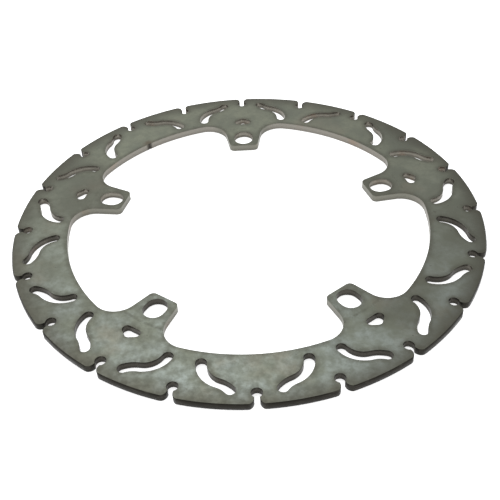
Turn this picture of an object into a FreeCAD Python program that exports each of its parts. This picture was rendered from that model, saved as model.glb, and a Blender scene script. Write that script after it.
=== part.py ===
"""Front brake disc rotor for a motorcycle: one flat steel plate with five fixing lugs.

The plate lies in the XY plane with its underside on z = 0, and its axis of rotation is Z.
One lug points along +Y. All sizes are in millimetres.
"""

import FreeCAD, Part

import math
import os

# Blank: turned on both faces and on the rim
OUTER_RADIUS = 160.0
THICKNESS = 5.0
RIM_CHAMFER = 0.6
EDGE_BREAK = 0.2

# The lugs are relieved a little below the ground friction band
BAND_INNER_RADIUS = 115.5
LUG_RELIEF = 0.1
RELIEF_RUN_OUT = 0.3

# Central window, with lugs that point inwards
LUG_COUNT = 5
FIRST_LUG_DEG = 90.0
WINDOW_RADIUS = 123.4
LUG_TIP_RADIUS = 90.8
LUG_TIP_HALF_WIDTH = 10.4
LUG_SIDE_DEG = 10.0
LUG_CORNER_RADIUS = 3.7
LUG_ROOT_RADIUS = 15.3

# Radial slot for a mounting bobbin in each lug
BOLT_CIRCLE_RADIUS = 101.5
BOLT_SLOT_WIDTH = 14.2
BOLT_SLOT_LENGTH = 16.6

# Small rounded triangle outboard of each lug, with its point outwards
VENT_BASE_RADIUS = 124.1
VENT_POINT_RADIUS = 126.4
VENT_HALF_BASE = 3.3
VENT_ROUNDING = 2.9

# Keyhole notches in the rim
NOTCH_COUNT = 20
NOTCH_NECK_WIDTH = 3.2
NOTCH_LIP_RADIUS = 4.6
NOTCH_BULB_RADIUS = 3.3
NOTCH_BULB_CENTRE = 151.6

# S-shaped cleaning slots, mirrored in turn, one between each pair of notches
SLOT_WIDTH = 6.5
SLOT_INNER_END = (-10.55, 131.4)
SLOT_INNER_HEADING_DEG = 84.8
SLOT_INNER_BEND_RADIUS = 15.6
SLOT_INNER_BEND_DEG = 70.6
SLOT_OUTER_BEND_RADIUS = 16.3
SLOT_OUTER_BEND_DEG = 31.4

# Start mark that the cutting beam left on the edge of the window
START_MARK_DEG = 126.6
START_MARK_RADIUS = 0.6

# An edge whose height varies by less than this is level
LEVEL_TOLERANCE = 1e-6

Z_AXIS = FreeCAD.Vector(0, 0, 1)
ORIGIN = FreeCAD.Vector(0, 0, 0)


def point(x, y):
    return FreeCAD.Vector(x, y, 0)


def polar(radius, degrees):
    angle = math.radians(degrees)
    return point(radius * math.cos(angle), radius * math.sin(angle))


def mirrored(vector):
    """The same point on the other side of the Y axis."""
    return point(-vector.x, vector.y)


def turned(shape, degrees):
    """A copy turned about the disc's axis."""
    copy = shape.copy()
    copy.rotate(ORIGIN, Z_AXIS, degrees)
    return copy


def arc_about(centre, start, end, middle_direction):
    """Arc from start to end about centre, passing on the side of middle_direction."""
    radius = (start - centre).Length
    middle = centre + middle_direction.normalize() * radius
    return Part.Arc(start, middle, end).toShape()


def short_arc(centre, start, end):
    """The shorter arc from start to end about centre."""
    return arc_about(centre, start, end, (start - centre) + (end - centre))


def line(start, end):
    return Part.LineSegment(start, end).toShape()


def prism(edges):
    """Upright solid through the whole plate inside a closed outline."""
    wire = Part.Wire(Part.__sortEdges__(edges))
    return Part.Face(wire).extrude(Z_AXIS * THICKNESS)


def lug_half_points():
    """Tangent points and arc centres of the half of a lug with x > 0, lug axis along +Y."""
    slope = math.radians(LUG_SIDE_DEG)
    outward = point(math.cos(slope), -math.sin(slope))
    along = point(math.sin(slope), math.cos(slope))
    corner = point(LUG_TIP_HALF_WIDTH, LUG_TIP_RADIUS)

    tip_centre = point(
        LUG_TIP_HALF_WIDTH - LUG_CORNER_RADIUS * (1 - math.sin(slope)) / math.cos(slope),
        LUG_TIP_RADIUS + LUG_CORNER_RADIUS,
    )
    tip_end = point(tip_centre.x, LUG_TIP_RADIUS)
    side_start = tip_centre + outward * LUG_CORNER_RADIUS

    root_orbit = WINDOW_RADIUS - LUG_ROOT_RADIUS
    base = corner + outward * LUG_ROOT_RADIUS
    half_b = base.dot(along)
    travel = -half_b + math.sqrt(half_b**2 - base.dot(base) + root_orbit**2)
    root_centre = base + along * travel
    side_end = root_centre - outward * LUG_ROOT_RADIUS
    bay_start = root_centre * (WINDOW_RADIUS / root_orbit)
    return tip_end, tip_centre, side_start, side_end, root_centre, bay_start


def lug_edges():
    """Outline of one lug on the +Y axis, from bay to bay."""
    tip_end, tip_centre, side_start, side_end, root_centre, bay_start = lug_half_points()
    edges = [line(mirrored(tip_end), tip_end)]
    for side in (lambda vector: vector, mirrored):
        edges.append(short_arc(side(tip_centre), side(tip_end), side(side_start)))
        edges.append(line(side(side_start), side(side_end)))
        edges.append(short_arc(side(root_centre), side(side_end), side(bay_start)))
    return edges


def window():
    """Central opening: a circle interrupted by the lugs."""
    step = 360.0 / LUG_COUNT
    bay_start = lug_half_points()[-1]
    lug_half_angle = math.degrees(math.atan2(bay_start.x, bay_start.y))
    edges = []
    for index in range(LUG_COUNT):
        lug_deg = FIRST_LUG_DEG + index * step
        edges += [turned(edge, lug_deg - 90.0) for edge in lug_edges()]
        first = polar(WINDOW_RADIUS, lug_deg + lug_half_angle)
        last = polar(WINDOW_RADIUS, lug_deg + step - lug_half_angle)
        edges.append(short_arc(ORIGIN, first, last))
    return prism(edges)


def bolt_slot():
    """Radial slot with round ends, on the +Y axis."""
    half_width = BOLT_SLOT_WIDTH / 2
    half_pitch = (BOLT_SLOT_LENGTH - BOLT_SLOT_WIDTH) / 2
    edges = []
    for end in (-1, 1):
        centre = point(0, BOLT_CIRCLE_RADIUS + end * half_pitch)
        left = centre - point(half_width, 0)
        right = centre + point(half_width, 0)
        edges.append(arc_about(centre, left, right, point(0, end)))
    for side in (-half_width, half_width):
        low = point(side, BOLT_CIRCLE_RADIUS - half_pitch)
        high = point(side, BOLT_CIRCLE_RADIUS + half_pitch)
        edges.append(line(low, high))
    return prism(edges)


def vent():
    """Small opening outboard of a lug. Rounded triangle on the +Y axis: a triangle grown by its corner rounding."""
    corners = [
        point(-VENT_HALF_BASE, VENT_BASE_RADIUS),
        point(VENT_HALF_BASE, VENT_BASE_RADIUS),
        point(0, VENT_POINT_RADIUS),
    ]
    edges = []
    outwards = []
    for start, end in zip(corners, corners[1:] + corners[:1]):
        run = (end - start).normalize()
        outward = point(run.y, -run.x) * VENT_ROUNDING
        outwards.append(outward)
        edges.append(line(start + outward, end + outward))
    for corner, before, after in zip(corners, outwards[-1:] + outwards[:-1], outwards):
        edges.append(short_arc(corner, corner + before, corner + after))
    return prism(edges)


def notch():
    """Keyhole notch on the +Y axis: flared lips, a short neck and a round bulb."""
    half_neck = NOTCH_NECK_WIDTH / 2
    lip_orbit = OUTER_RADIUS - NOTCH_LIP_RADIUS
    lip_x = half_neck + NOTCH_LIP_RADIUS
    lip_centre = point(lip_x, math.sqrt(lip_orbit**2 - lip_x**2))
    rim_point = lip_centre * (OUTER_RADIUS / lip_orbit)
    neck_top = point(half_neck, lip_centre.y)
    bulb_centre = point(0, NOTCH_BULB_CENTRE)
    rise = math.sqrt(NOTCH_BULB_RADIUS**2 - half_neck**2)
    neck_bottom = point(half_neck, NOTCH_BULB_CENTRE + rise)
    above = point(0, OUTER_RADIUS + NOTCH_LIP_RADIUS)
    beyond = rim_point * ((OUTER_RADIUS + NOTCH_LIP_RADIUS) / OUTER_RADIUS)

    edges = [arc_about(bulb_centre, neck_bottom, mirrored(neck_bottom), point(0, -1))]
    for side in (lambda vector: vector, mirrored):
        edges.append(line(side(neck_bottom), side(neck_top)))
        edges.append(short_arc(side(lip_centre), side(neck_top), side(rim_point)))
        edges.append(line(side(rim_point), side(beyond)))
        edges.append(line(side(beyond), above))
    return prism(edges)


def heading(degrees):
    angle = math.radians(degrees)
    return point(math.cos(angle), math.sin(angle))


def left_of(direction):
    return point(-direction.y, direction.x)


def cleaning_slot():
    """S-shaped slot about the +Y axis: a right-hand bend, then a left-hand one, and round ends."""
    half_width = SLOT_WIDTH / 2
    start = point(*SLOT_INNER_END)
    start_run = heading(SLOT_INNER_HEADING_DEG)
    inner_centre = start - left_of(start_run) * SLOT_INNER_BEND_RADIUS
    middle_run = heading(SLOT_INNER_HEADING_DEG - SLOT_INNER_BEND_DEG)
    middle = inner_centre + left_of(middle_run) * SLOT_INNER_BEND_RADIUS
    outer_centre = middle + left_of(middle_run) * SLOT_OUTER_BEND_RADIUS
    end_deg = SLOT_INNER_HEADING_DEG - SLOT_INNER_BEND_DEG + SLOT_OUTER_BEND_DEG
    end_run = heading(end_deg)
    end = outer_centre - left_of(end_run) * SLOT_OUTER_BEND_RADIUS

    edges = []
    for offset in (-half_width, half_width):
        start_side = start + left_of(start_run) * offset
        middle_side = middle + left_of(middle_run) * offset
        end_side = end + left_of(end_run) * offset
        edges.append(short_arc(inner_centre, start_side, middle_side))
        edges.append(short_arc(outer_centre, middle_side, end_side))
    for centre, run, out in ((start, start_run, -1), (end, end_run, 1)):
        across = left_of(run) * half_width
        edges.append(arc_about(centre, centre - across, centre + across, run * out))
    return prism(edges)


def start_mark():
    """Half-round nick in the edge of the window."""
    centre = polar(WINDOW_RADIUS, START_MARK_DEG)
    return Part.makeCylinder(START_MARK_RADIUS, THICKNESS, centre, Z_AXIS)


def openings():
    """Every opening that is cut through the plate."""
    cutters = [window().fuse(start_mark())]
    lug_step = 360.0 / LUG_COUNT
    for index in range(LUG_COUNT):
        turn = FIRST_LUG_DEG - 90.0 + index * lug_step
        cutters.append(turned(bolt_slot(), turn))
        cutters.append(turned(vent(), turn))
    notch_step = 360.0 / NOTCH_COUNT
    slot = cleaning_slot()
    slot_mirrored = slot.mirror(ORIGIN, FreeCAD.Vector(1, 0, 0))
    for index in range(NOTCH_COUNT):
        turn = index * notch_step
        cutters.append(turned(notch(), turn))
        hand = slot if index % 2 == 0 else slot_mirrored
        cutters.append(turned(hand, turn + notch_step / 2))
    return cutters


def edges_on_faces(shape):
    """The edges of a prism that lie in its top or bottom face."""
    return [edge for edge in shape.Edges if edge.BoundBox.ZLength < LEVEL_TOLERANCE]


def turned_blank():
    """Ring turned on a lathe: chamfered rim, ground band, and relieved area for the lugs."""
    bore = LUG_TIP_RADIUS / 2
    band = BAND_INNER_RADIUS
    rim = OUTER_RADIUS
    low_half = [
        (bore, LUG_RELIEF),
        (band - RELIEF_RUN_OUT, LUG_RELIEF),
        (band, 0),
        (rim - RIM_CHAMFER, 0),
        (rim, RIM_CHAMFER),
    ]
    outline = low_half + [(r, THICKNESS - z) for r, z in reversed(low_half)]
    corners = [FreeCAD.Vector(r, 0, z) for r, z in outline]
    face = Part.Face(Part.makePolygon(corners + corners[:1]))
    return face.revolve(ORIGIN, Z_AXIS, 360)


def brake_disc():
    """The plate, cut to its outline, with broken edges and turned faces."""
    plate = Part.makeCylinder(OUTER_RADIUS, THICKNESS)
    plate = plate.cut(openings())
    plate = plate.makeChamfer(EDGE_BREAK, edges_on_faces(plate))
    return plate.common(turned_blank()).removeSplitter()


def main():
    os.makedirs("parts", exist_ok=True)
    shape = brake_disc()
    if len(shape.Solids) != 1 or not shape.isValid():
        raise RuntimeError("the disc isn't one valid solid")
    shape.Solids[0].exportStep("parts/brake_disc.step")


main()
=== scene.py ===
"""One-piece brake disc for a motorcycle wheel, on a pale floor in soft studio light.

Lengths are in metres and angles in radians. The disc lies in the XY plane with its underside
on z = 0, and one of its five lugs points along +Y.
"""

import math

import bpy
from mathutils import Matrix, Quaternion, Vector


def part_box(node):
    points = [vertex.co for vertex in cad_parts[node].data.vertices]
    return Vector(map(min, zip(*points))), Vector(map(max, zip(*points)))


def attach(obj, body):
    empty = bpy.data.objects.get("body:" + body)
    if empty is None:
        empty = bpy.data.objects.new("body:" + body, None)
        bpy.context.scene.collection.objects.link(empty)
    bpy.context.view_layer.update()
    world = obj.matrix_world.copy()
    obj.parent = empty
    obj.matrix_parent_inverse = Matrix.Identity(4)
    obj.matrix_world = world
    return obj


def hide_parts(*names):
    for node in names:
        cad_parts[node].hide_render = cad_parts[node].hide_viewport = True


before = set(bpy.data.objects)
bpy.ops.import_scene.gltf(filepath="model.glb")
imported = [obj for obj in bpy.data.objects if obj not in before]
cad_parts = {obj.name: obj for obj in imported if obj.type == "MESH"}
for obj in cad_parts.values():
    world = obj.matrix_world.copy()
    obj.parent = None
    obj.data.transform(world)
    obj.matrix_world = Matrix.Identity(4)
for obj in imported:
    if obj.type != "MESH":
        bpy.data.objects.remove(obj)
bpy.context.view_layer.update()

bl_info = {
    "name": "Brake disc",
    "version": (1, 0, 0),
    "blender": (4, 5, 0),
    "location": "3D View > Sidebar > Brake Disc",
    "description": "Builds a one-piece motorcycle brake disc and a small studio for it",
    "category": "Add Mesh",
}

CAD_NODE = "brake_disc"
PLATE_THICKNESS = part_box(CAD_NODE)[1].z

# Curved outlines leave the true arc by no more than this
ARC_TOLERANCE = 0.00001
# A finished outline ends this close to where it began
CLOSING_TOLERANCE = 0.00002
# Points nearer than this are one point
MERGE_DISTANCE = 0.000001
# Runs shorter than this, left where two cuts meet, are closed up before the edges are broken
SHORT_RUN = 0.00004
# Cutters stand this far past both faces of the plate
CUTTER_MARGIN = 0.001
# A small square that is merged to the first point of an outline
SEED_SIZE = 0.001
RIM_STEPS = 360
EDGE_SEGMENTS = 2
QUARTER = math.pi / 2.0
UP = Vector((0.0, 0.0, 1.0))
# Edges sharper than the first are broken, and gentler ones than the second are shaded smooth
EDGE_ANGLE = math.radians(60.0)
SMOOTH_ANGLE = math.radians(50.0)
# The upright part of a face's normal, on a ground face and on a flat one
FACE_STEEPNESS = 0.8
FLAT_STEEPNESS = 0.999

# Each noise pattern: features to a metre, detail and roughness
CLOUDS = (45.0, 4.0, 0.55)
MOTTLE = (190.0, 5.0, 0.65)
GRAIN = (1500.0, 2.0, 0.55)
STAIN = (28.0, 4.0, 0.6)
SPECKS = (330.0, 2.0, 0.5)
SOIL = (11.0, 2.0, 0.55)
RINGS = (1.0, 3.0, 0.55)
DRAG_LINES = (1500.0, 3.0, 0.55)
SWAY = (160.0, 2.0, 0.55)
TEMPER = (60.0, 3.0, 0.55)
SCORCH = (22.0, 3.0, 0.55)
TURNING = (3000.0, 3.0, 0.55)
OXIDE = (120.0, 4.0, 0.55)
FLOOR_CLOUDS = (3.0, 2.0, 0.55)
# How patterns are drawn out along the axes
STAIN_STRETCH = (1.0, 1.0, 3.0)
DRAG_STRETCH = (1.0, 1.0, 0.07)
TURNING_STRETCH = (0.05, 0.05, 1.0)
# Lathe rings to a metre of radius
RING_PITCH = 2600.0
# Moves the soiling about on the faces
SOIL_SHIFT = (-0.52, 0.09, 0.0)

# Depth of the fine relief on the faces, the cut walls and the rim
GROUND_RELIEF = 0.000012
WALL_RELIEF = 0.00006
RIM_RELIEF = 0.00003
# How far into the steel the search for a nearby cut goes
HEAT_REACH = 0.0045
HEAT_SAMPLES = 8
# Soiling grows between these distances inside the rim
RIM_SOIL = (0.015, 0.002)
# Painted shade on the slope down to the lugs, from the edge of the line to its middle
SLOPE_SHADE = (0.0013, 0.0004)
# Burn round the start mark, from where it ends to where it is full
FACE_BURN = (0.0075, 0.0015)
WALL_BURN = (0.0032, 0.0010)
# Places along Y between which a painted highlight makes the ground face lighter and cooler towards
# -Y, and painted shade makes the slot walls darker towards -Y
SHEEN_SIDE = (0.09, -0.12)
SHADED_SIDE = (0.095, -0.09)

# Sockets of the Mix node that carry colours, which share their names with others
MIX_COLOUR_SOCKETS = {"A": 6, "B": 7}
MIX_COLOUR_OUTPUT = 2
WHITE = (1.0, 1.0, 1.0, 1.0)
SENSOR_WIDTH = 36.0
CLIP_START = 0.01


def length(name, description, default):
    """A length that can be changed in the panel."""
    return bpy.props.FloatProperty(
        name=name, description=description, default=default, min=0.0, precision=5, unit="LENGTH"
    )


def angle(name, description, degrees):
    """An angle that can be changed in the panel, given here in degrees."""
    return bpy.props.FloatProperty(
        name=name, description=description, default=math.radians(degrees), unit="ROTATION"
    )


def colour(name, description, default):
    """A linear colour that can be changed in the panel."""
    return bpy.props.FloatVectorProperty(
        name=name,
        description=description,
        default=default,
        size=3,
        min=0.0,
        max=1.0,
        subtype="COLOR",
    )


def amount(name, description, default):
    """A plain number that can be changed in the panel."""
    return bpy.props.FloatProperty(name=name, description=description, default=default, min=0.0)


def count(name, description, default):
    """A whole number that can be changed in the panel."""
    return bpy.props.IntProperty(name=name, description=description, default=default, min=1)


class BlankSizes(bpy.types.PropertyGroup):
    """The plate as it leaves the lathe."""

    rim_radius: length("Rim radius", "Outer radius of the disc", 0.160)
    thickness: length("Thickness", "Thickness of the friction band", PLATE_THICKNESS)
    rim_chamfer: length("Rim chamfer", "Chamfer on both edges of the rim", 0.0006)
    edge_break: length("Edge break", "Width of the broken edge round every cut", 0.0002)
    band_radius: length("Band radius", "Inner radius of the ground friction band", 0.1155)
    lug_relief: length("Lug relief", "Depth of the lug faces below the band", 0.0001)
    relief_run_out: length("Relief run-out", "Width of the slope down to the lug faces", 0.0020)


class WindowSizes(bpy.types.PropertyGroup):
    """The central window, and what is cut in its lugs."""

    lugs: count("Lugs", "Lugs that point inwards", 5)
    radius: length("Window radius", "Radius of the window between the lugs", 0.1234)
    tip_radius: length("Tip radius", "Distance from the axis to the flat lug tips", 0.0908)
    tip_half_width: length(
        "Tip half width", "Half the lug's width at its tip, before rounding", 0.0104
    )
    side_slope: angle("Side slope", "Lean of each lug side away from the lug's axis", 10.0)
    corner_radius: length("Corner radius", "Rounding of the lug's corners", 0.0037)
    root_radius: length("Root radius", "Fillet between a lug and the window's edge", 0.0153)
    bolt_circle: length("Bolt circle radius", "Distance from the axis to the bolt slots", 0.1015)
    bolt_width: length("Bolt slot width", "Width of the radial slot in each lug", 0.0142)
    bolt_length: length("Bolt slot length", "Length of the radial slot in each lug", 0.0166)
    vent_base: length(
        "Vent base radius", "Distance from the axis to the vent triangle's base", 0.1241
    )
    vent_point: length(
        "Vent point radius", "Distance from the axis to the vent triangle's point", 0.1264
    )
    vent_half_base: length("Vent half base", "Half the base of the vent triangle", 0.0033)
    vent_rounding: length("Vent rounding", "Radius that the vent triangle is grown by", 0.0029)
    mark_angle: angle(
        "Start mark angle", "Where the cutting beam first met the window's edge", 126.6
    )
    mark_radius: length("Start mark radius", "Radius of the nick left by the beam", 0.0006)


class SlotSizes(bpy.types.PropertyGroup):
    """The notches in the rim and the S-shaped slots between them."""

    notches: count("Notches", "Keyhole notches in the rim, and slots between them", 20)
    neck_width: length("Neck width", "Width of a notch's neck", 0.0032)
    lip_radius: length("Lip radius", "Rounding where a notch meets the rim", 0.0046)
    bulb_radius: length("Bulb radius", "Radius of a notch's round end", 0.0033)
    bulb_centre: length("Bulb centre", "Distance from the axis to a notch's round end", 0.1516)
    slot_width: length("Slot width", "Width of a cleaning slot", 0.0065)
    slot_side: length(
        "Slot side step", "How far a slot's inner end lies beside its own radius", 0.01055
    )
    slot_start: length("Slot start", "Distance along that radius to the slot's inner end", 0.1314)
    slot_heading: angle("Slot heading", "Direction in which a slot leaves its inner end", 84.8)
    inner_bend_radius: length("Inner bend radius", "Radius of a slot's first bend", 0.0156)
    inner_bend: angle("Inner bend", "Turn of a slot's first bend", 70.6)
    outer_bend_radius: length("Outer bend radius", "Radius of a slot's second bend", 0.0163)
    outer_bend: angle("Outer bend", "Turn of a slot's second bend", 31.4)


class Finish(bpy.types.PropertyGroup):
    """Colours of the steel, as linear values."""

    steel_light: colour("Light steel", "Ground face where it is cleanest", (0.144, 0.149, 0.111))
    # Painted highlight: the lighter, cooler tone that the ground face takes towards -Y
    steel_cool_sheen: colour("Cool steel", "Clean ground face on the -Y side", (0.158, 0.172, 0.158))
    steel_dark: colour("Dark steel", "Ground face where it is dullest", (0.104, 0.109, 0.085))
    steel_warm: colour(
        "Warm stain", "Thin brown film in places on the face", (0.132, 0.123, 0.095)
    )
    # Also the colour of the painted shade along the slope down to the lugs
    heat_margin_and_shade: colour(
        "Heat margin", "Face beside the cuts, dulled by the beam's heat", (0.053, 0.050, 0.038)
    )
    window_upper: colour(
        "Window wall, upper part", "Smooth upper part of the window's wall", (0.188, 0.176, 0.154)
    )
    window_lower: colour(
        "Window wall, lower part", "Rough lower part of the window's wall", (0.198, 0.185, 0.163)
    )
    slot_upper: colour(
        "Slot wall, upper part",
        "Smooth upper part of the walls of slots and holes",
        (0.212, 0.197, 0.167),
    )
    slot_lower: colour(
        "Slot wall, lower part",
        "Rough lower part of the walls of slots and holes",
        (0.132, 0.122, 0.102),
    )
    heat_tint: colour(
        "Heat tint", "Straw and brown temper colours on the cut walls", (0.208, 0.136, 0.092)
    )
    burn: colour("Burn", "Brown burn on the face round the start mark", (0.075, 0.055, 0.038))
    # Also the colour of the painted shade that darkens the slot walls towards -Y
    scorch_and_shade: colour(
        "Scorch", "Dark brown scorch on the walls of slots and holes", (0.027, 0.024, 0.019)
    )
    # Its darkness is partly the rim's oxide skin and partly painted shade for the rim wall
    rim_skin_and_shade: colour("Rim skin", "Nearly black oxide skin on the rim", (0.014, 0.0125, 0.009))


class Studio(bpy.types.PropertyGroup):
    """Floor, lights and camera."""

    floor_size: length("Floor size", "Side of the square floor", 30.0)
    floor_gap: length(
        "Floor gap", "Gap that keeps the floor and the disc's underside apart", 0.00005
    )
    floor_colour: colour("Floor colour", "Pale grey of the floor", (0.86, 0.86, 0.86))
    floor_glow: amount(
        "Floor glow", "Light that comes up through the floor, as from a light table", 0.65
    )
    room_light: amount("Room light", "Strength of the even light from all round", 0.9)
    key_power: amount("Key power", "Power of the large softbox behind the disc, in watts", 10.2)
    key_colour: colour("Key colour", "Slightly cool light of the softbox", (0.93, 0.985, 1.0))
    key_size: length("Key size", "Side of the square softbox", 0.9)
    key_place: bpy.props.FloatVectorProperty(
        name="Key place",
        description="Centre of the softbox",
        default=(-0.20, 0.54, 1.15),
        unit="LENGTH",
    )
    camera_place: bpy.props.FloatVectorProperty(
        name="Camera place",
        description="Where the camera stands",
        default=(-0.00111, -0.44150, 0.36194),
        precision=5,
        unit="LENGTH",
    )
    camera_aim: bpy.props.FloatVectorProperty(
        name="Camera aim",
        description="Point on the disc's face that the camera looks at",
        default=(0.00039, -0.03237, PLATE_THICKNESS),
        precision=5,
        unit="LENGTH",
    )
    camera_roll: angle("Camera roll", "Turn of the camera about its own line of sight", -2.72)
    lens: amount("Lens", "Focal length in millimetres on a 36 mm wide sensor", 59.32)


class Pen:
    """Draws a closed outline in edit mode, as a cutting head would travel."""

    def __init__(self, x, y, heading):
        """Puts the pen down in a new mesh object at a point, facing along heading."""
        deselect_all()
        bpy.ops.object.add(type="MESH", enter_editmode=True, location=(0.0, 0.0, 0.0))
        bpy.ops.mesh.primitive_plane_add(size=SEED_SIZE, location=(x, y, 0.0))
        bpy.ops.mesh.merge(type="CENTER")
        self.start = Vector((x, y, 0.0))
        self.place = self.start.copy()
        self.heading = heading

    def ahead(self):
        return Vector((math.cos(self.heading), math.sin(self.heading), 0.0))

    def go(self, distance):
        """Straight ahead."""
        run = self.ahead() * distance
        bpy.ops.mesh.extrude_region_move(TRANSFORM_OT_translate={"value": run})
        self.place += run

    def bend(self, radius, turn):
        """An arc that turns left, or right where turn is negative."""
        side = math.copysign(1.0, turn)
        centre = self.place + UP.cross(self.ahead()) * radius * side
        step = 2.0 * math.acos(1.0 - ARC_TOLERANCE / radius)
        bpy.ops.mesh.spin(
            steps=math.ceil(abs(turn) / step),
            angle=abs(turn),
            center=centre,
            axis=UP * -side,
        )
        self.place = centre + Matrix.Rotation(turn, 3, "Z") @ (self.place - centre)
        self.heading += turn

    def turn(self, turn):
        """A sharp corner."""
        self.heading += turn

    def cutter(self, name, height):
        """Closes and fills the outline, and makes it an upright solid that stands past both faces."""
        if (self.place - self.start).length > CLOSING_TOLERANCE:
            raise RuntimeError(f"the outline of {name} doesn't close")
        bpy.ops.mesh.select_all(action="SELECT")
        bpy.ops.mesh.remove_doubles(threshold=CLOSING_TOLERANCE)
        bpy.ops.mesh.edge_face_add()
        bpy.ops.transform.translate(value=UP * -CUTTER_MARGIN)
        full_height = height + 2.0 * CUTTER_MARGIN
        bpy.ops.mesh.extrude_region_move(TRANSFORM_OT_translate={"value": UP * full_height})
        bpy.ops.mesh.select_all(action="SELECT")
        bpy.ops.mesh.normals_make_consistent(inside=False)
        bpy.ops.object.mode_set(mode="OBJECT")
        solid = bpy.context.object
        solid.name = name
        return solid


def deselect_all():
    if bpy.context.object and bpy.context.object.mode != "OBJECT":
        bpy.ops.object.mode_set(mode="OBJECT")
    bpy.ops.object.select_all(action="DESELECT")


def make_active(thing):
    deselect_all()
    thing.select_set(True)
    bpy.context.view_layer.objects.active = thing


def placed_copy(thing, matrix):
    """A copy with a mesh of its own, moved by matrix within that mesh."""
    copy = thing.copy()
    copy.data = thing.data.copy()
    copy.data.transform(matrix)
    bpy.context.scene.collection.objects.link(copy)
    return copy


def turned_copies(thing, times, first_turn=0.0):
    """Copies turned about the disc's axis, evenly round it. The object itself is removed."""
    step = math.tau / times
    turns = [first_turn + index * step for index in range(times)]
    copies = [placed_copy(thing, Matrix.Rotation(turn, 4, "Z")) for turn in turns]
    bpy.data.objects.remove(thing)
    return copies


def mirrored_copy(thing):
    """A copy of the other hand, with its faces turned outwards again."""
    copy = placed_copy(thing, Matrix.Scale(-1.0, 4, (1.0, 0.0, 0.0)))
    make_active(copy)
    bpy.ops.object.mode_set(mode="EDIT")
    bpy.ops.mesh.select_all(action="SELECT")
    bpy.ops.mesh.normals_make_consistent(inside=False)
    bpy.ops.object.mode_set(mode="OBJECT")
    return copy


def joined(things, name):
    deselect_all()
    for thing in things:
        thing.select_set(True)
    bpy.context.view_layer.objects.active = things[0]
    bpy.ops.object.join()
    bpy.context.object.name = name
    return bpy.context.object


def cut_away(plate, cutter):
    """Takes the cutter's volume off the plate, and removes the cutter."""
    make_active(plate)
    bpy.ops.object.modifier_add(type="BOOLEAN")
    modifier = plate.modifiers[-1]
    modifier.operation = "DIFFERENCE"
    modifier.solver = "EXACT"
    modifier.object = cutter
    bpy.ops.object.modifier_apply(modifier=modifier.name)
    bpy.data.objects.remove(cutter)


def plain_plate(blank):
    """A round plate with sharp edges."""
    deselect_all()
    bpy.ops.mesh.primitive_circle_add(
        vertices=RIM_STEPS, radius=blank.rim_radius, fill_type="NGON", enter_editmode=True
    )
    bpy.ops.mesh.extrude_region_move(TRANSFORM_OT_translate={"value": UP * blank.thickness})
    bpy.ops.mesh.select_all(action="SELECT")
    bpy.ops.mesh.normals_make_consistent(inside=False)
    bpy.ops.object.mode_set(mode="OBJECT")
    plate = bpy.context.object
    plate.name = "disc_plate"
    return plate


def lug_runs(window):
    """Length of a lug's tip and side runs, and half the angle that it takes of the window's edge."""
    slope = window.side_slope
    outward = Vector((math.cos(slope), -math.sin(slope)))
    along = Vector((math.sin(slope), math.cos(slope)))
    trim = window.corner_radius * (1.0 - math.sin(slope)) / math.cos(slope)
    tip_run = window.tip_half_width - trim
    corner_centre = Vector((tip_run, window.tip_radius + window.corner_radius))

    root_orbit = window.radius - window.root_radius
    base = Vector((window.tip_half_width, window.tip_radius)) + outward * window.root_radius
    half_b = base.dot(along)
    travel = math.sqrt(half_b**2 - base.length_squared + root_orbit**2) - half_b
    root_centre = base + along * travel
    side_run = (root_centre - corner_centre).dot(along)
    half_angle = math.atan2(root_centre.x, root_centre.y)
    return tip_run, side_run, half_angle


def window_cutter(window, thickness):
    """The central window, a circle broken by the lugs, drawn from the middle of a lug's tip."""
    tip_run, side_run, half_angle = lug_runs(window)
    corner = QUARTER - window.side_slope
    root = corner + half_angle
    bay = math.tau / window.lugs - 2.0 * half_angle
    pen = Pen(0.0, window.tip_radius, 0.0)
    for _ in range(window.lugs):
        pen.go(tip_run)
        pen.bend(window.corner_radius, corner)
        pen.go(side_run)
        pen.bend(window.root_radius, -root)
        pen.bend(window.radius, -bay)
        pen.bend(window.root_radius, -root)
        pen.go(side_run)
        pen.bend(window.corner_radius, corner)
        pen.go(tip_run)
    return pen.cutter("window", thickness)


def bolt_slot_cutter(window, thickness):
    """Radial slot with round ends."""
    radius = window.bolt_width / 2.0
    run = window.bolt_length - window.bolt_width
    pen = Pen(radius, window.bolt_circle - run / 2.0, QUARTER)
    for _ in range(2):
        pen.go(run)
        pen.bend(radius, math.pi)
    return pen.cutter("bolt_slot", thickness)


def vent_cutter(window, thickness):
    """A small triangle with its point outwards, grown by its rounding."""
    rise = window.vent_point - window.vent_base
    lean = math.atan2(rise, window.vent_half_base)
    side = math.hypot(rise, window.vent_half_base)
    pen = Pen(-window.vent_half_base, window.vent_base - window.vent_rounding, 0.0)
    pen.go(2.0 * window.vent_half_base)
    pen.bend(window.vent_rounding, math.pi - lean)
    pen.go(side)
    pen.bend(window.vent_rounding, 2.0 * lean)
    pen.go(side)
    pen.bend(window.vent_rounding, math.pi - lean)
    return pen.cutter("vent", thickness)


def start_mark_cutter(window, thickness):
    """The half-round nick that the beam left in the window's edge."""
    centre = Matrix.Rotation(window.mark_angle, 3, "Z") @ Vector((window.radius, 0.0, 0.0))
    pen = Pen(centre.x, centre.y - window.mark_radius, 0.0)
    pen.bend(window.mark_radius, math.tau)
    return pen.cutter("start_mark", thickness)


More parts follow.
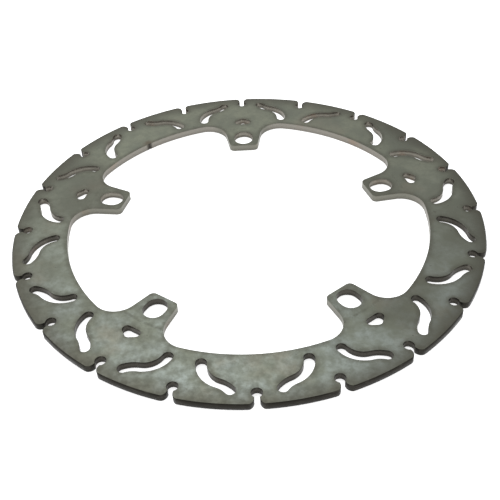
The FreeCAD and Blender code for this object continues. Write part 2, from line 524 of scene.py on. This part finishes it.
def notch_cutter(slots, rim_radius, thickness):
    """Keyhole notch: a round bulb, a short neck, and lips that flare into the rim."""
    half_neck = slots.neck_width / 2.0
    neck_lean = math.asin(half_neck / slots.bulb_radius)
    neck_low = slots.bulb_centre + slots.bulb_radius * math.cos(neck_lean)
    lip_orbit = rim_radius - slots.lip_radius
    spread = math.asin((half_neck + slots.lip_radius) / lip_orbit)
    neck_run = lip_orbit * math.cos(spread) - neck_low
    flare = QUARTER + spread
    beyond = slots.lip_radius

    pen = Pen(half_neck, neck_low, -neck_lean)
    pen.bend(slots.bulb_radius, 2.0 * neck_lean - math.tau)
    pen.turn(QUARTER - neck_lean)
    pen.go(neck_run)
    pen.bend(slots.lip_radius, flare)
    pen.turn(-QUARTER)
    pen.go(beyond)
    pen.turn(-QUARTER)
    pen.bend(rim_radius + beyond, -2.0 * spread)
    pen.turn(-QUARTER)
    pen.go(beyond)
    pen.turn(-QUARTER)
    pen.bend(slots.lip_radius, flare)
    pen.go(neck_run)
    return pen.cutter("notch", thickness)


def cleaning_slot_cutter(slots, thickness):
    """S-shaped slot with round ends: a right-hand bend, then a left-hand one, and back again."""
    half = slots.slot_width / 2.0
    heading = slots.slot_heading
    left = Vector((-math.sin(heading), math.cos(heading))) * half
    pen = Pen(left.x - slots.slot_side, left.y + slots.slot_start, heading)
    pen.bend(slots.inner_bend_radius + half, -slots.inner_bend)
    pen.bend(slots.outer_bend_radius - half, slots.outer_bend)
    pen.bend(half, -math.pi)
    pen.bend(slots.outer_bend_radius + half, -slots.outer_bend)
    pen.bend(slots.inner_bend_radius - half, slots.inner_bend)
    pen.bend(half, -math.pi)
    return pen.cutter("cleaning_slot", thickness)


def all_cutters(blank, window, slots):
    """One object that holds every opening of the disc."""
    thickness = blank.thickness
    step = math.tau / slots.notches
    slot = cleaning_slot_cutter(slots, thickness)
    slot_mirrored = mirrored_copy(slot)
    cutters = [window_cutter(window, thickness)]
    cutters += turned_copies(bolt_slot_cutter(window, thickness), window.lugs)
    cutters += turned_copies(vent_cutter(window, thickness), window.lugs)
    cutters += turned_copies(notch_cutter(slots, blank.rim_radius, thickness), slots.notches)
    cutters += turned_copies(slot, slots.notches // 2, step / 2.0)
    cutters += turned_copies(slot_mirrored, slots.notches // 2, step * 1.5)
    return joined(cutters, "cutters")


def break_edges(plate, width):
    """Rounds the sharp edges that the cuts left."""
    make_active(plate)
    bpy.ops.object.mode_set(mode="EDIT")
    bpy.ops.mesh.select_all(action="SELECT")
    bpy.ops.mesh.remove_doubles(threshold=SHORT_RUN)
    bpy.ops.object.mode_set(mode="OBJECT")
    bpy.ops.object.modifier_add(type="BEVEL")
    bevel = plate.modifiers[-1]
    bevel.width = width
    bevel.segments = EDGE_SEGMENTS
    bevel.limit_method = "ANGLE"
    bevel.angle_limit = EDGE_ANGLE
    bevel.use_clamp_overlap = False
    bpy.ops.object.modifier_apply(modifier=bevel.name)


def chamfer_tool(blank, face_z, side):
    """Ring that takes the corner off the rim at one face.

    side is 1 for the upper face and -1 for the lower one.
    """
    over = blank.rim_chamfer
    inner = Vector((blank.rim_radius - blank.rim_chamfer - over, 0.0, face_z + side * over))
    lower = Vector((blank.rim_radius + over, 0.0, face_z - side * (blank.rim_chamfer + over)))
    corner = Vector((lower.x, 0.0, inner.z))
    deselect_all()
    bpy.ops.object.add(type="MESH", enter_editmode=True, location=(0.0, 0.0, 0.0))
    bpy.ops.mesh.primitive_plane_add(size=SEED_SIZE, location=inner)
    bpy.ops.mesh.merge(type="CENTER")
    for start, end in ((inner, lower), (lower, corner), (corner, inner)):
        bpy.ops.mesh.extrude_region_move(TRANSFORM_OT_translate={"value": end - start})
    bpy.ops.mesh.select_all(action="SELECT")
    bpy.ops.mesh.remove_doubles(threshold=MERGE_DISTANCE)
    bpy.ops.mesh.spin(steps=RIM_STEPS, angle=math.tau, center=(0.0, 0.0, 0.0), axis=UP)
    bpy.ops.mesh.select_all(action="SELECT")
    bpy.ops.mesh.remove_doubles(threshold=MERGE_DISTANCE)
    bpy.ops.mesh.normals_make_consistent(inside=False)
    bpy.ops.object.mode_set(mode="OBJECT")
    return bpy.context.object


def facing_tool(blank, face_z, side):
    """Truncated cone that takes the lug faces down a little, with a slope up to the band."""
    height = CUTTER_MARGIN
    floor_radius = blank.band_radius - blank.relief_run_out
    mouth_radius = floor_radius + blank.relief_run_out * height / blank.lug_relief
    middle_z = face_z + side * (height / 2.0 - blank.lug_relief)
    low, high = (floor_radius, mouth_radius) if side > 0.0 else (mouth_radius, floor_radius)
    deselect_all()
    bpy.ops.mesh.primitive_cone_add(
        vertices=RIM_STEPS, radius1=low, radius2=high, depth=height, enter_editmode=True
    )
    bpy.ops.transform.translate(value=UP * middle_z)
    bpy.ops.object.mode_set(mode="OBJECT")
    return bpy.context.object


def last_cutters(blank, window):
    """The start mark, and the lathe work on both faces. These leave sharp edges."""
    cutters = [start_mark_cutter(window, blank.thickness)]
    for face_z, side in ((blank.thickness, 1.0), (0.0, -1.0)):
        cutters += [chamfer_tool(blank, face_z, side), facing_tool(blank, face_z, side)]
    return joined(cutters, "last_cutters")


def share_out_finishes(plate, blank, window, slots, finish):
    """Ground steel on the faces, a dark skin on the rim and notch lips that is partly painted shade,
    and cut walls elsewhere.
    """
    materials = (
        ground_steel(blank, window, finish),
        rim_skin_and_shade(finish),
        window_steel(blank, window, finish),
        slot_steel(blank, finish),
    )
    for material in materials:
        plate.data.materials.append(material)
    ground, rim, window_wall, slot_wall = range(len(materials))
    lip_start = blank.rim_radius - slots.lip_radius
    # The start mark's wall lies just outside the window's own
    window_edge = window.radius + 2.0 * window.mark_radius
    make_active(plate)
    bpy.ops.object.shade_smooth_by_angle(angle=SMOOTH_ANGLE)
    for face in plate.data.polygons:
        steepness = abs(face.normal.z)
        radius = face.center.xy.length
        if steepness > FACE_STEEPNESS:
            face.material_index = ground
        elif radius > lip_start:
            face.material_index = rim
        elif radius < window_edge and not in_lug_hole(face.center, window, blank.edge_break):
            face.material_index = window_wall
        else:
            face.material_index = slot_wall
        if steepness > FLAT_STEEPNESS:
            face.use_smooth = False


def in_lug_hole(place, window, margin):
    """Whether a place on a wall is in a bolt slot or a vent, and not on the lug's own outline."""
    step = math.tau / window.lugs
    bearing = math.atan2(place.y, place.x) - QUARTER
    off_axis = bearing - round(bearing / step) * step
    across = abs(math.sin(off_axis)) * place.xy.length
    outwards = math.cos(off_axis) * place.xy.length
    return across < window.bolt_width / 2.0 + margin and outwards > window.tip_radius + margin


def check_closed(plate):
    """Stops the script if the plate has a gap or a loose edge."""
    uses = {}
    for face in plate.data.polygons:
        for key in face.edge_keys:
            uses[key] = uses.get(key, 0) + 1
    open_edges = sum(1 for times in uses.values() if times != 2)
    if open_edges or len(uses) != len(plate.data.edges):
        raise RuntimeError(f"the plate isn't closed: {open_edges} edges don't join two faces")


class BRAKEDISC_OT_plate(bpy.types.Operator):
    """Cut the disc out of a round plate, turn it and give it its finishes"""

    bl_idname = "brakedisc.plate"
    bl_label = "Disc Plate"

    def execute(self, context):
        scene = context.scene
        blank, window, slots = scene.disc_blank, scene.disc_window, scene.disc_slots
        plate = plain_plate(blank)
        cut_away(plate, all_cutters(blank, window, slots))
        break_edges(plate, blank.edge_break)
        cut_away(plate, last_cutters(blank, window))
        check_closed(plate)
        share_out_finishes(plate, blank, window, slots, scene.disc_finish)
        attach(plate, "root")
        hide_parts(CAD_NODE)
        return {"FINISHED"}


def add(tree, kind, inputs=None, **settings):
    """A new node. Its inputs take plain values, or other nodes' outputs, which are linked."""
    node = tree.nodes.new(kind)
    for name, value in settings.items():
        setattr(node, name, value)
    for name, value in (inputs or {}).items():
        if isinstance(value, bpy.types.NodeSocket):
            tree.links.new(value, node.inputs[name])
        else:
            node.inputs[name].default_value = value
    return node


def noise(tree, vector, pattern):
    """Cloudy values about 0.5."""
    scale, detail, roughness = pattern
    inputs = {"Vector": vector, "Scale": scale, "Detail": detail, "Roughness": roughness}
    return add(tree, "ShaderNodeTexNoise", inputs).outputs["Fac"]


def ramp(tree, value, low, high, start=0.0, end=1.0):
    """Value taken smoothly from start to end while it goes from low to high."""
    inputs = {"Value": value, "From Min": low, "From Max": high, "To Min": start, "To Max": end}
    node = add(tree, "ShaderNodeMapRange", inputs, interpolation_type="SMOOTHSTEP")
    return node.outputs["Result"]


def calculate(tree, operation, first, second=0.0):
    return add(tree, "ShaderNodeMath", {0: first, 1: second}, operation=operation).outputs[0]


def mixed(tree, factor, first, second):
    """Colours mixed by a factor. A plain colour is three numbers."""
    inputs = {"Factor": factor}
    for name, value in (("A", first), ("B", second)):
        socket = MIX_COLOUR_SOCKETS[name]
        inputs[socket] = value if isinstance(value, bpy.types.NodeSocket) else (*value, 1.0)
    return add(tree, "ShaderNodeMix", inputs, data_type="RGBA").outputs[MIX_COLOUR_OUTPUT]


def stretched(tree, vector, scale):
    """Coordinates multiplied along each axis, so that a pattern on them is drawn out."""
    inputs = {"Vector": vector, "Scale": scale}
    return add(tree, "ShaderNodeMapping", inputs).outputs["Vector"]


def shifted(tree, vector, shift):
    """Coordinates moved, so that a pattern on them lies elsewhere."""
    inputs = {"Vector": vector, "Location": shift}
    return add(tree, "ShaderNodeMapping", inputs).outputs["Vector"]


def height_and_side(tree, place):
    """The Z and the Y of a place."""
    separated = add(tree, "ShaderNodeSeparateXYZ", {"Vector": place})
    return separated.outputs["Z"], separated.outputs["Y"]


def from_axis(tree, place):
    """Distance from the disc's axis."""
    inputs = {0: place, 1: (1.0, 1.0, 0.0)}
    flat = add(tree, "ShaderNodeVectorMath", inputs, operation="MULTIPLY").outputs[0]
    return add(tree, "ShaderNodeVectorMath", {0: flat}, operation="LENGTH").outputs["Value"]


def from_start_mark(tree, place, window):
    """Distance across the plate from the start mark."""
    mark = Matrix.Rotation(window.mark_angle, 3, "Z") @ Vector((window.radius, 0.0, 0.0))
    inputs = {0: place, 1: mark}
    away = add(tree, "ShaderNodeVectorMath", inputs, operation="SUBTRACT").outputs[0]
    return from_axis(tree, away)


def new_steel(name, metallic):
    """A material with a Principled shader, its tree, its shader and the object's coordinates."""
    material = bpy.data.materials.new(name)
    material.use_nodes = True
    tree = material.node_tree
    shader = tree.nodes["Principled BSDF"]
    shader.inputs["Metallic"].default_value = metallic
    place = tree.nodes.new("ShaderNodeTexCoord").outputs["Object"]
    return material, tree, shader, place


def paint(tree, shader, body):
    tree.links.new(body, shader.inputs["Base Color"])


def roughen(tree, shader, roughness, height, depth):
    """Gives the shader its roughness, and a bump of this depth from height."""
    bump = add(tree, "ShaderNodeBump", {"Height": height, "Strength": 1.0, "Distance": depth})
    tree.links.new(roughness, shader.inputs["Roughness"])
    tree.links.new(bump.outputs["Normal"], shader.inputs["Normal"])


def clean_face(tree, place, mottle, finish):
    """Colour of the ground face away from the cuts, clouded, stained and soiled, with a painted
    highlight that makes it lighter and cooler towards -Y.
    """
    _, side = height_and_side(tree, place)
    clouds = noise(tree, place, CLOUDS)
    stain = noise(tree, stretched(tree, place, STAIN_STRETCH), STAIN)
    specks = noise(tree, place, SPECKS)
    soil = noise(tree, shifted(tree, place, SOIL_SHIFT), SOIL)

    # Painted highlight: the face grows lighter and cooler towards -Y
    sheen_side_tone = mixed(tree, ramp(tree, side, *SHEEN_SIDE), finish.steel_light, finish.steel_cool_sheen)
    body = mixed(tree, ramp(tree, clouds, 0.35, 0.65), finish.steel_dark, sheen_side_tone)
    body = mixed(tree, ramp(tree, mottle, 0.3, 0.7, end=0.6), body, finish.steel_dark)
    body = mixed(tree, ramp(tree, stain, 0.52, 0.72, end=0.7), body, finish.steel_warm)
    body = mixed(tree, ramp(tree, soil, 0.42, 0.68, end=0.5), body, finish.heat_margin_and_shade)
    return mixed(tree, ramp(tree, specks, 0.70, 0.78, end=0.5), body, finish.heat_margin_and_shade)


def beside_cuts(tree, mottle):
    """How strongly the face is dulled beside the cuts."""
    inside = add(
        tree,
        "ShaderNodeAmbientOcclusion",
        {"Distance": HEAT_REACH},
        inside=True,
        only_local=True,
        samples=HEAT_SAMPLES,
    ).outputs["AO"]
    margin = ramp(tree, inside, 0.98, 0.62, end=0.6)
    return calculate(tree, "MULTIPLY", margin, ramp(tree, mottle, 0.25, 0.6, 0.55, 1.0))


def shade_on_slope(tree, radius, mottle, blank):
    """How much painted shade lies along the slope down to the lugs."""
    middle = blank.band_radius - blank.relief_run_out / 2.0
    away = calculate(tree, "ABSOLUTE", calculate(tree, "SUBTRACT", radius, middle))
    line = ramp(tree, away, *SLOPE_SHADE)
    return calculate(tree, "MULTIPLY", line, ramp(tree, mottle, 0.3, 0.6, end=0.3))


def ground_steel(blank, window, finish):
    """Ground face: clouded grey steel with fine rings, dulled and browned beside the cuts, with
    painted shade along the slope down to the lugs.
    """
    material, tree, shader, place = new_steel("ground_steel", 0.9)
    mottle = noise(tree, place, MOTTLE)
    grain = noise(tree, place, GRAIN)
    radius = from_axis(tree, place)
    ring_place = calculate(tree, "MULTIPLY", radius, RING_PITCH)
    ring_vector = add(tree, "ShaderNodeCombineXYZ", {"X": ring_place}).outputs[0]
    rings = noise(tree, ring_vector, RINGS)

    body = clean_face(tree, place, mottle, finish)
    body = mixed(tree, beside_cuts(tree, mottle), body, finish.heat_margin_and_shade)
    rim_low, rim_high = (blank.rim_radius - inset for inset in RIM_SOIL)
    body = mixed(tree, ramp(tree, radius, rim_low, rim_high, end=0.68), body, finish.heat_margin_and_shade)
    # Painted shade: a dark line along the slope down to the lugs
    body = mixed(tree, shade_on_slope(tree, radius, mottle, blank), body, finish.heat_margin_and_shade)
    burn = ramp(tree, from_start_mark(tree, place, window), *FACE_BURN, end=0.75)
    burn = calculate(tree, "MULTIPLY", burn, ramp(tree, mottle, 0.35, 0.6, 0.4, 1.0))
    paint(tree, shader, mixed(tree, burn, body, finish.burn))

    roughness = ramp(tree, mottle, 0.3, 0.7, 0.40, 0.54)
    height = calculate(tree, "ADD", grain, calculate(tree, "MULTIPLY", rings, 0.5))
    roughen(tree, shader, roughness, height, GROUND_RELIEF)
    return material


def cut_steel(name, blank, upper, lower, temper_colour):
    """Wall left by the beam: smooth above, rough below, with upright drag lines.

    Returns the material, its tree, its shader, its coordinates and the wall's colour, which
    the caller finishes and paints.
    """
    material, tree, shader, place = new_steel(name, 0.85)
    height, _ = height_and_side(tree, place)
    level = calculate(tree, "DIVIDE", height, blank.thickness)
    drag = noise(tree, stretched(tree, place, DRAG_STRETCH), DRAG_LINES)
    sway = noise(tree, place, SWAY)
    temper = noise(tree, place, TEMPER)

    edge = calculate(tree, "ADD", level, calculate(tree, "MULTIPLY", sway, 0.3))
    body = mixed(tree, ramp(tree, edge, 0.45, 0.62), lower, upper)
    body = mixed(tree, ramp(tree, temper, 0.55, 0.72, end=0.5), body, temper_colour)
    body = mixed(tree, ramp(tree, drag, 0.35, 0.7, end=0.35), body, lower)
    roughen(tree, shader, ramp(tree, level, 0.2, 0.7, 0.52, 0.34), drag, WALL_RELIEF)
    return material, tree, shader, place, body


def window_steel(blank, window, finish):
    """The window's wall: the cleanest cut, duller on the lugs and with a burn at the start mark."""
    upper, lower = finish.window_upper, finish.window_lower
    material, tree, shader, place, body = cut_steel(
        "window_wall", blank, upper, lower, finish.heat_tint
    )
    lug = ramp(tree, from_axis(tree, place), window.radius, blank.band_radius, end=0.5)
    body = mixed(tree, lug, body, finish.steel_dark)
    burn = ramp(tree, from_start_mark(tree, place, window), *WALL_BURN, end=0.85)
    paint(tree, shader, mixed(tree, burn, body, finish.scorch_and_shade))
    return material


def slot_steel(blank, finish):
    """Walls of slots and holes, scorched in patches, and with painted shade that darkens them towards
    -Y.
    """
    upper, lower = finish.slot_upper, finish.slot_lower
    material, tree, shader, place, body = cut_steel(
        "slot_wall", blank, upper, lower, finish.heat_tint
    )
    _, side = height_and_side(tree, place)
    # Painted shade: the slot walls grow darker towards -Y
    lean = ramp(tree, side, *SHADED_SIDE, -0.22, 0.12)
    scorch_and_shade = calculate(tree, "ADD", noise(tree, place, SCORCH), lean)
    burnt_and_shaded = ramp(tree, scorch_and_shade, 0.32, 0.58, end=0.85)
    paint(tree, shader, mixed(tree, burnt_and_shaded, body, finish.scorch_and_shade))
    return material


def rim_skin_and_shade(finish):
    """Turned rim under a dark brown oxide skin, worn through to the metal in fine streaks; its
    darkness is partly painted shade.
    """
    material, tree, shader, place = new_steel("rim_skin_and_shade", 0.8)
    turning = noise(tree, stretched(tree, place, TURNING_STRETCH), TURNING)
    oxide = noise(tree, place, OXIDE)
    streaks = ramp(tree, turning, 0.45, 0.7)
    wear = calculate(tree, "MULTIPLY", streaks, ramp(tree, oxide, 0.4, 0.7))
    body = mixed(tree, ramp(tree, oxide, 0.5, 0.75, end=0.5), finish.rim_skin_and_shade, finish.scorch_and_shade)
    body = mixed(tree, calculate(tree, "MULTIPLY", wear, 0.2), body, finish.slot_upper)
    paint(tree, shader, body)
    roughen(tree, shader, ramp(tree, oxide, 0.3, 0.7, 0.38, 0.55), turning, RIM_RELIEF)
    return material


def aim(thing, target, roll=0.0):
    """Points the object's line of sight at target, turned about it by roll."""
    sight = (Vector(target) - thing.location).to_track_quat("-Z", "Y")
    thing.rotation_euler = (sight @ Quaternion((0.0, 0.0, 1.0), roll)).to_euler()


class BRAKEDISC_OT_studio(bpy.types.Operator):
    """Lay the floor, hang the lights and set up the camera"""

    bl_idname = "brakedisc.studio"
    bl_label = "Studio"

    def execute(self, context):
        studio = context.scene.disc_studio
        lay_floor(studio)
        light_room(context.scene, studio)
        set_camera(context.scene, studio)
        return {"FINISHED"}


def one_sided(tree, shader):
    """Makes the floor clear from behind, so that the disc can be seen from below."""
    clear = tree.nodes.new("ShaderNodeBsdfTransparent")
    geometry = tree.nodes.new("ShaderNodeNewGeometry")
    inputs = {0: geometry.outputs["Backfacing"], 1: shader.outputs[0], 2: clear.outputs[0]}
    mix = add(tree, "ShaderNodeMixShader", inputs)
    tree.links.new(mix.outputs[0], tree.nodes["Material Output"].inputs["Surface"])


def lay_floor(studio):
    """A plain pale floor just under the disc."""
    deselect_all()
    bpy.ops.mesh.primitive_plane_add(size=studio.floor_size, location=UP * -studio.floor_gap)
    floor = bpy.context.object
    floor.name = "floor"
    material, tree, shader, place = new_steel("pale_floor", 0.0)
    shade = ramp(tree, noise(tree, place, FLOOR_CLOUDS), 0.3, 0.7, 0.98, 1.0)
    tone = mixed(tree, shade, (0.0, 0.0, 0.0), studio.floor_colour)
    paint(tree, shader, tone)
    shader.inputs["Roughness"].default_value = 0.9
    shader.inputs["Specular IOR Level"].default_value = 0.2
    shader.inputs["Emission Color"].default_value = WHITE
    shader.inputs["Emission Strength"].default_value = studio.floor_glow
    one_sided(tree, shader)
    floor.data.materials.append(material)


def light_room(scene, studio):
    """Even light from all round, and one large softbox behind the disc."""
    world = bpy.data.worlds.new("room")
    world.use_nodes = True
    background = world.node_tree.nodes["Background"]
    background.inputs["Color"].default_value = WHITE
    background.inputs["Strength"].default_value = studio.room_light
    scene.world = world
    deselect_all()
    bpy.ops.object.light_add(type="AREA", location=studio.key_place)
    key = bpy.context.object
    key.name = "key_softbox"
    key.data.energy = studio.key_power
    key.data.size = studio.key_size
    key.data.color = studio.key_colour
    aim(key, (0.0, 0.0, 0.0))


def set_camera(scene, studio):
    deselect_all()
    bpy.ops.object.camera_add(location=studio.camera_place)
    camera = bpy.context.object
    camera.data.sensor_width = SENSOR_WIDTH
    camera.data.lens = studio.lens
    camera.data.clip_start = CLIP_START
    aim(camera, studio.camera_aim, studio.camera_roll)
    scene.camera = camera
    scene.view_settings.view_transform = "Standard"


class BRAKEDISC_PT_panel(bpy.types.Panel):
    """Every size and colour, with a button for each thing to build"""

    bl_label = "Brake Disc"
    bl_idname = "BRAKEDISC_PT_panel"
    bl_space_type = "VIEW_3D"
    bl_region_type = "UI"
    bl_category = "Brake Disc"

    def draw(self, context):
        for name in SETTINGS:
            group = getattr(context.scene, name)
            box = self.layout.box()
            box.label(text=group.bl_rna.description)
            for key in group.bl_rna.properties.keys():
                if key not in ("rna_type", "name"):
                    box.prop(group, key)
        self.layout.operator(BRAKEDISC_OT_plate.bl_idname)
        self.layout.operator(BRAKEDISC_OT_studio.bl_idname)


SETTINGS = {
    "disc_blank": BlankSizes,
    "disc_window": WindowSizes,
    "disc_slots": SlotSizes,
    "disc_finish": Finish,
    "disc_studio": Studio,
}
CLASSES = (*SETTINGS.values(), BRAKEDISC_OT_plate, BRAKEDISC_OT_studio, BRAKEDISC_PT_panel)


def register():
    for item in CLASSES:
        bpy.utils.register_class(item)
    for name, group in SETTINGS.items():
        setattr(bpy.types.Scene, name, bpy.props.PointerProperty(type=group))


def unregister():
    for name in SETTINGS:
        delattr(bpy.types.Scene, name)
    for item in reversed(CLASSES):
        bpy.utils.unregister_class(item)


def main():
    register()
    bpy.ops.brakedisc.plate()
    bpy.ops.brakedisc.studio()


if __name__ == "__main__":
    main()
